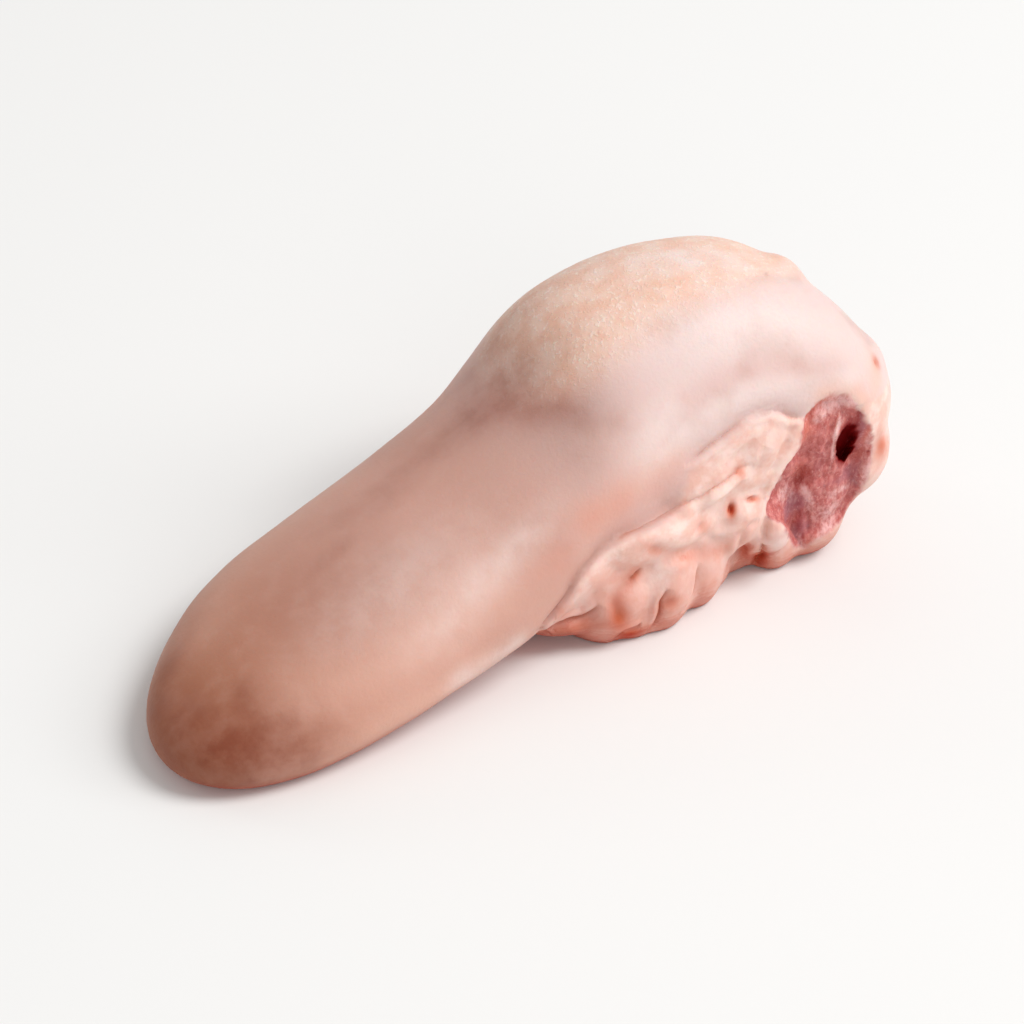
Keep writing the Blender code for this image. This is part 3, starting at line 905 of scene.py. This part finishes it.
# %% Orange-rosy pits with painted shade, and the painted shade of the lip above the crease
# Partly the meat's own orange blush, partly painted shade: the rosy tint darkens and reddens pits,
# slits, troughs and the flap under the front fold.
rosy = dabs((
    ((622, 502), (6, 5), 40, 0.3), ((590, 520), (4, 4), 40, 0.25), ((560, 560), (5, 4), 45, 0.15),
    ((655, 550), (2.4, 1.8), 0, 0.6), ((702, 527), (2.2, 1.6), 0, 0.35),
    ((669, 603), (2.6, 2.0), 20, 0.65), ((634, 576), (1.6, 3.2), -40, 0.7),
    ((616, 602), (2.0, 3.0), -25, 0.55), ((619, 618), (2.2, 3.2), 0, 1.0),
    ((630, 634), (3.0, 1.1), 20, 1.0), ((731, 511), (1.3, 2.0), 0, 1.0),
    ((752, 499), (1.8, 0.8), 0, 0.8), ((739, 472), (1.3, 1.3), 0, 0.7),
    ((759, 557), (1.8, 2.0), -30, 1.0), ((743, 548), (1.4, 3.0), -10, 0.4),
    ((575, 629), (9, 2.2), 5, 0.75), ((708, 585), (2.4, 4.0), 0, 0.25),
    ((562, 613), (1.5, 2.0), 0, 0.3), ((610, 585), (4.0, 5.0), 0, 0.15),
    ((640, 608), (3.0, 4.0), 0, 0.15), ((781, 442), (2.0, 3.0), 0, 0.25),
    ((881, 445), (1.8, 3.0), 0, 0.8), ((876, 362), (0.8, 1.5), 20, 0.9)), far=True)
rosy = np.maximum(rosy, brush((
    (((690, 398), (730, 377), (780, 367), (830, 370)), 3.0, 0.12),
    (((500, 400), (530, 408), (560, 405)), 5.0, 0.2),
    (((650, 549), (670, 554), (690, 555), (722, 549)), 2.0, 0.3),
    (((600, 520), (640, 498), (680, 470)), 4.0, 0.2))))
# Painted shade, with some of the membrane's own grey: the ashen tint darkens the band where the body
# turns under above the crease.
LIP_ROUTE = ((520, 650), (545, 622), (562, 603), (583, 570), (605, 543), (640, 520), (672, 503))
ashen = brush(((LIP_ROUTE, 1.5, 0.45),))
tell(rosy=rosy, ashen=ashen)

# %% Purple muscle, fat and ruby edges in the cut flesh
purple = dabs((
    ((787, 508), (2.6, 6.0), -22, 0.9), ((799, 530), (1.8, 4.0), -20, 0.7),
    ((855, 480), (1.8, 4.0), 15, 0.4), ((846, 472), (2.6, 2.0), 0, 0.5),
    ((861, 428), (1.6, 6.0), -5, 0.6), ((860, 455), (1.8, 3.0), 0, 0.35),
    ((819, 458), (2.0, 5.0), 0, 0.3), ((835, 482), (5.0, 1.2), -20, 0.4)))
fatty = dabs((
    ((828, 512), (4.0, 4.0), 0, 0.5), ((846, 401), (5.0, 2.0), 10, 0.6),
    ((806, 494), (1.1, 3.4), 25, 0.65), ((834, 442), (0.45, 7.5), 2, 0.95),
    ((867, 472), (2.0, 5.0), -15, 0.6), ((824, 412), (2.5, 3.5), -20, 0.5),
    ((783, 492), (1.6, 3.0), -20, 0.5), ((868, 440), (1.0, 4.0), 0, 0.35),
    ((840, 490), (4.0, 1.4), 10, 0.5), ((800, 540), (1.0, 2.0), 0, 0.3),
    ((791, 494), (2.0, 3.0), -10, 0.3), ((826, 530), (4.0, 1.5), 40, 0.5)))
ruby = dabs((
    ((815, 405), (3.0, 3.5), -35, 0.8), ((806, 430), (2.0, 4.0), 0, 0.8),
    ((830, 405), (4.0, 3.0), 0, 0.5), ((812, 545), (3.0, 2.0), 20, 0.7),
    ((800, 470), (1.6, 2.6), 0, 0.6), ((840, 430), (2.2, 2.0), 0, 0.4),
    ((828, 535), (3.0, 1.6), 35, 0.6), ((867, 432), (1.8, 5.0), -5, 0.7),
    ((862, 462), (2.0, 4.5), 10, 0.6)))
tell(purple=purple, fatty=fatty, ruby=ruby)

# %% Blood in the hollows, and painted shade in the folds, in the vessel pit and on the underside
bloody = dabs((
    ((800, 477), (1.4, 2.8), -20, 0.95), ((806, 453), (1.2, 3.0), -30, 0.5),
    ((858, 412), (1.0, 3.0), -15, 0.8), ((858, 457), (0.9, 1.6), 0, 0.7),
    ((853, 480), (1.2, 2.8), 20, 0.6), ((801, 513), (1.2, 4.0), -15, 0.6),
    ((868, 451), (0.4, 0.4), 0, 0.8), ((848, 441), (2.6, 4.8), 0, 0.7),
    ((783, 528), (0.8, 3.0), -25, 0.4), ((812, 440), (0.8, 2.0), 0, 0.3)))
# Painted shade: a dark red where the folds sink in and along the line each fold paints.
cavity = np.clip(0.15 * sunk + line, 0, 1)
# Painted shade, over some of the vessel's own dark red: the inside of the pit.
pit = np.clip(hole, 0, 1)
# Painted shade: the underside near the table turns dark red, which also reddens the light it bounces
# onto the table.
under = step_up(-skin.outward[:, 2], 0.3, 0.9) * step_up(12 - skin.place[:, 2], 0, 8)
tell(bloody=bloody, cavity=cavity, pit=pit, under=under)

# %% [markdown]
# ## Deeper colour in the folds
#
# Deep in a fold the light has bounced from skin to skin, and each bounce makes it redder. A
# renderer shows only a part of this in pale skin. So we feel round each vertex with a fan of
# rays, keep how many of them meet the skin or the table, and let the material deepen its own
# colour by that share.

# %% Feel how closed in each place is
GOLDEN_TURN, LIFT_OFF = radians(137.5), 0.15


def closed_in(skin, chosen, reach=14.0, rays=14):
    """Share of the rays from a place that soon meet the skin again or the table."""
    spiral = [GOLDEN_TURN * k for k in range(rays)]
    lifts = [(k + 0.5) / rays for k in range(rays)]
    fan = np.array([(cos(a) * (1 - h * h) ** 0.5, sin(a) * (1 - h * h) ** 0.5, h)
                    for a, h in zip(spiral, lifts)])
    share = np.zeros(len(skin.place))
    for v in np.nonzero(chosen)[0]:
        outward = Vector(skin.outward[v])
        turn = outward.to_track_quat("Z", "Y").to_matrix()
        start = Vector(skin.place[v]) + outward * LIFT_OFF
        for ray, weight in zip(fan, lifts):
            aim_at = turn @ Vector(ray)
            down = aim_at.z < 0 and start.z < -aim_at.z * reach
            if down or skin.tree.ray_cast(start, aim_at, reach)[0] is not None:
                share[v] += 2.0 * weight / rays
    return share


chosen = skin.outward[:, 2] > -0.95
chosen &= (fat + flesh > 0.1) | (skin.place[:, 2] < 20) | (skin.place[:, 0] > -15)
closed = closed_in(skin, chosen)
print("closed in, mean of", int(chosen.sum()), "vertices:", round(float(closed[chosen].mean()), 2))

# %% Keep each mask on the mesh, under a name that the material can read
MASKS = {"fat": fat, "flesh": flesh, "tan": tan, "dark": dark, "pale": pale, "rosy": rosy,
         "ashen": ashen, "purple": purple, "bloody": bloody, "fatty": fatty, "cavity": cavity,
         "pit": pit, "peach": peach, "ruby": ruby, "under": under, "closed": closed}
for name, values in MASKS.items():
    layer = tongue.data.attributes.new(name, "FLOAT", "POINT")
    layer.data.foreach_set("value", values.astype(np.float32))
print("painted", len(tongue.data.attributes), "layers on", len(skin.place), "vertices")

# %% [markdown]
# ## One moist material
#
# Raw meat glows a little: light goes in, wanders and comes out redder. So the shader has
# subsurface scattering with a longer reach for red. A thin moist film keeps it satin. The base
# colour starts as blade skin, turns paler towards the root, and then takes each mask in turn.

# %% Colours, as linear shares of red, green and blue
BLADE, TIP, SIDE = (0.59, 0.325, 0.26), (0.40, 0.160, 0.09), (0.74, 0.56, 0.53)
BROWNED, GREYED = (0.48, 0.25, 0.19), (0.66, 0.44, 0.38)
TAN, TAN_DEEP, FLECKS = (0.87, 0.61, 0.49), (0.85, 0.51, 0.37), (0.93, 0.76, 0.65)
FAT, FAT_DEEP, SALMON = (0.87, 0.64, 0.57), (0.81, 0.50, 0.42), (0.65, 0.31, 0.25)
FLESH, FLESH_DEEP = (0.61, 0.205, 0.185), (0.46, 0.11, 0.10)
# Several of these colours paint light rather than the meat's own colour: the colours of folds, vessel
# and underside paint shade, the dark, rosy and ashen tints paint shade in part, and the pale and peach
# tints paint light in part.
DARK, PALE, ROSY = (0.20, 0.038, 0.014), (0.84, 0.70, 0.66), (0.60, 0.135, 0.06)
ASHEN, PURPLE, FATTY = (0.58, 0.37, 0.33), (0.42, 0.15, 0.17), (0.82, 0.51, 0.49)
CAVITY, PIT, PEACH = (0.44, 0.10, 0.045), (0.22, 0.001, 0.002), (0.78, 0.46, 0.36)
RUBY, BLOODY, UNDER = (0.62, 0.17, 0.125), (0.30, 0.020, 0.018), (0.42, 0.06, 0.03)
print("red over green: fat", round(FAT[0] / FAT[1], 1), "flesh", round(FLESH[0] / FLESH[1], 1))


# %% Small helpers for the node tree
class Weave:
    """Adds nodes to one material and wires them together."""

    def __init__(self, name):
        self.material = bpy.data.materials.new(name)
        self.material.use_nodes = True
        self.tree = self.material.node_tree
        self.shader = self.tree.nodes["Principled BSDF"]
        self.where = self.tree.nodes.new("ShaderNodeTexCoord").outputs["Object"]

    def put(self, socket, value):
        """Wire an output to a socket, or set a plain value on it."""
        if isinstance(value, bpy.types.NodeSocket):
            self.tree.links.new(value, socket)
        else:
            socket.default_value = (*value, 1.0) if isinstance(value, tuple) else value

    def mask(self, name):
        """Read one of the masks that lie on the mesh."""
        node = self.tree.nodes.new("ShaderNodeAttribute")
        node.attribute_name = name
        return node.outputs["Fac"]

    def grain(self, size, detail=3.0, stretch=(1, 1, 1), rough=0.55):
        """Noise between 0 and 1 with features of about a size in millimetres."""
        turn = self.tree.nodes.new("ShaderNodeMapping")
        turn.inputs["Scale"].default_value = stretch
        self.put(turn.inputs["Vector"], self.where)
        node = self.tree.nodes.new("ShaderNodeTexNoise")
        node.inputs["Scale"].default_value = 1.0 / (size * MM)
        node.inputs["Detail"].default_value = detail
        node.inputs["Roughness"].default_value = rough
        self.put(node.inputs["Vector"], turn.outputs["Vector"])
        return node.outputs["Fac"]

    def reach(self, value, low, high, start=0.0, end=1.0):
        """Stretch the part of a value between low and high to start and end."""
        node = self.tree.nodes.new("ShaderNodeMapRange")
        node.interpolation_type = "SMOOTHSTEP"
        for name, v in (("Value", value), ("From Min", low), ("From Max", high),
                        ("To Min", start), ("To Max", end)):
            self.put(node.inputs[name], v)
        return node.outputs["Result"]

    def maths(self, kind, a, b):
        """Two values added, multiplied or the like."""
        node = self.tree.nodes.new("ShaderNodeMath")
        node.operation = kind
        self.put(node.inputs[0], a)
        self.put(node.inputs[1], b)
        return node.outputs[0]

    def mix(self, a, b, share):
        """Colour a turning into colour b as share goes from 0 to 1."""
        node = self.tree.nodes.new("ShaderNodeMix")
        node.data_type = "RGBA"
        self.put(node.inputs["Factor"], share)
        self.put(node.inputs["A"], a)
        self.put(node.inputs["B"], b)
        return node.outputs["Result"]


# %% Colour of the blade and the hump
w = Weave("moist_meat")
split = w.tree.nodes.new("ShaderNodeSeparateXYZ")
w.put(split.inputs["Vector"], w.where)
along, height = split.outputs["X"], split.outputs["Z"]
cloud, mottle = w.grain(16, 3), w.grain(5, 4)
body = w.mix(TIP, BLADE, w.reach(along, -90 * MM, -20 * MM))
body = w.mix(body, SIDE, w.reach(along, -15 * MM, 40 * MM))
body = w.mix(body, BROWNED, w.reach(cloud, 0.48, 0.72, 0.0, 0.35))
body = w.mix(body, GREYED, w.reach(mottle, 0.45, 0.85, 0.0, 0.15))
# Painted light, partly: the peach tint lightens the lit near edge and the shaded rim above the cut.
body = w.mix(body, PEACH, w.mask("peach"))
tanned = w.mix(TAN_DEEP, TAN, w.reach(mottle, 0.35, 0.65))
fleck = w.reach(w.grain(0.9, 2, (1, 1, 0.55)), 0.53, 0.66)
flecked = w.maths("MULTIPLY", fleck, w.reach(mottle, 0.36, 0.60, 0.15, 0.75))
tanned = w.mix(tanned, FLECKS, flecked)
body = w.mix(body, tanned, w.maths("MULTIPLY", w.mask("tan"), 0.8))
print("nodes so far:", len(w.tree.nodes))

# %% Colour of the fat, and the tints of the skin
plump = w.mix(FAT_DEEP, FAT, w.reach(mottle, 0.36, 0.60))
plump = w.mix(plump, SALMON, w.reach(height, 30 * MM, 10 * MM, 0.0, 0.55))
body = w.mix(body, plump, w.mask("fat"))
# Painted light, partly: the pale tint brightens lit sides and highlights.
body = w.mix(body, PALE, w.maths("MULTIPLY", w.mask("pale"), w.reach(mottle, 0.30, 0.60, 0.55, 0.9)))
# Painted shade, partly: the ashen tint darkens the band under the body's side.
body = w.mix(body, ASHEN, w.mask("ashen"))
# Painted shade, partly: the rosy tint darkens and reddens pits and folds.
body = w.mix(body, ROSY, w.mask("rosy"))
# Painted shade, partly: the dark tint shades the hump's left flank, the neck, the low tip and the flap
# under the front lobe.
body = w.mix(body, DARK, w.maths("MULTIPLY", w.mask("dark"), w.reach(mottle, 0.30, 0.65, 0.9, 0.6)))
print("nodes so far:", len(w.tree.nodes))

# %% Colour of the cut flesh
fibre = w.grain(1.2, 5, (1, 1, 0.5), 0.65)
clot = w.grain(2.6, 4, (1, 1, 0.8), 0.6)
speck = w.grain(0.55, 3, (1, 1, 0.7), 0.6)
meat = w.mix(FLESH_DEEP, FLESH, w.reach(fibre, 0.36, 0.62))
meat = w.mix(meat, RUBY, w.mask("ruby"))
for name, tint, ragged_by in (("purple", PURPLE, clot), ("fatty", FATTY, fibre)):
    torn = w.maths("ADD", w.mask(name), ragged_by)
    meat = w.mix(meat, tint, w.reach(torn, 0.60, 1.30, 0.0, 0.95))
meat = w.mix(meat, FATTY, w.reach(speck, 0.55, 0.75, 0.0, 0.4))
meat = w.mix(meat, BLOODY, w.reach(speck, 0.45, 0.28, 0.0, 0.3))
meat = w.mix(meat, BLOODY, w.maths("MULTIPLY", w.mask("bloody"), w.reach(fibre, 0.25, 0.65, 1.0, 0.5)))
body = w.mix(body, meat, w.mask("flesh"))
print("nodes so far:", len(w.tree.nodes))

# %% Painted shade: redder and deeper where the skin is closed in
# The Gamma paints shade and red bounce light: it darkens and reddens the colour where many rays from
# the skin soon meet skin or table, most on the fat.
fatness = w.reach(w.mask("fat"), 0.0, 1.0, 0.4, 1.0)
closeness = w.maths("MULTIPLY", w.mask("closed"), fatness)
glow = w.tree.nodes.new("ShaderNodeGamma")
w.put(glow.inputs["Color"], body)
w.put(glow.inputs["Gamma"], w.reach(closeness, 0.10, 0.90, 1.0, 2.0))
body = glow.outputs["Color"]
# Painted shade in the folds.
body = w.mix(body, CAVITY, w.maths("MULTIPLY", w.mask("cavity"), 0.75))
# Painted shade on the underside near the table.
body = w.mix(body, UNDER, w.mask("under"))
# Painted shade inside the vessel, over some of its own dark red.
body = w.mix(body, PIT, w.mask("pit"))
w.put(w.shader.inputs["Base Color"], body)
print("nodes so far:", len(w.tree.nodes))

# %% Gloss, glow and bump
MOIST = {"IOR": 1.38, "Specular IOR Level": 0.35, "Coat Weight": 0.06, "Coat Roughness": 0.25,
         "Subsurface Weight": 0.30, "Subsurface Scale": 3.5 * MM,
         "Subsurface Radius": (1.0, 0.35, 0.20)}
BUMP_STRENGTH, BUMP_HEIGHT = 0.35, 0.3 * MM
for name, value in MOIST.items():
    w.shader.inputs[name].default_value = value
w.put(w.shader.inputs["Roughness"], w.reach(mottle, 0.30, 0.70, 0.50, 0.62))
bump = w.tree.nodes.new("ShaderNodeBump")
pores = w.maths("ADD", w.grain(0.9, 3), w.maths("MULTIPLY", fleck, w.mask("tan")))
for name, value in (("Strength", BUMP_STRENGTH), ("Distance", BUMP_HEIGHT), ("Height", pores)):
    w.put(bump.inputs[name], value)
w.put(w.shader.inputs["Normal"], bump.outputs["Normal"])
tongue.data.materials.append(w.material)
tongue.data.shade_smooth()
print("material nodes:", len(w.tree.nodes))

# %% [markdown]
# ## The table and the light
#
# The tongue lies on a plain pale table. The photo was lit very softly: a bright room, a large
# lamp high on the right, a lower one beside it, and weak ones in front and behind that open up
# the shadows. Their places were found by comparing the shading of the blade and the width of the
# shadows with the photo.

# %% Floor
FLOOR_HALF = 3000 * MM
TABLE = {"Base Color": (0.835, 0.828, 0.815, 1), "Roughness": 0.9, "Specular IOR Level": 0.1}


def add_floor(bm):
    """One flat square."""
    bmesh.ops.create_grid(bm, x_segments=1, y_segments=1, size=FLOOR_HALF)


floor = shown("floor", mesh_of("floor", add_floor))
table = bpy.data.materials.new("table")
table.use_nodes = True
for name, value in TABLE.items():
    table.node_tree.nodes["Principled BSDF"].inputs[name].default_value = value
floor.data.materials.append(table)
print("floor:", 2 * FLOOR_HALF, "m square")

# %% Light: turn and lift in degrees, distance and size in metres, watts
ROOM = 0.50
LAMPS = (
    ("key", 48, 55, 3.0, 1.4, 52),
    ("side", 50, 32, 3.0, 1.4, 20),
    ("fill", -20, 30, 3.0, 1.6, 10),
    ("rim", -155, 22, 3.0, 1.0, 4.5),
)
scene = bpy.context.scene
scene.view_settings.view_transform = "Standard"
scene.view_settings.look = "None"
scene.world = bpy.data.worlds.new("studio")
scene.world.use_nodes = True
background = scene.world.node_tree.nodes["Background"]
background.inputs["Color"].default_value = (1, 1, 1, 1)
background.inputs["Strength"].default_value = ROOM
for name, turn, lift, distance, size, watts in LAMPS:
    light = bpy.data.lights.new(name, "AREA")
    light.shape, light.size, light.energy = "DISK", size, watts
    aim(shown(name, light), look_from(radians(turn), radians(lift)), distance, TARGET)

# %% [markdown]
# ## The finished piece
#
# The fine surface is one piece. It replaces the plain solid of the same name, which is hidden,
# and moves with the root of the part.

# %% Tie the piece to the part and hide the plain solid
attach(tongue, "root")
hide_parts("tongue")
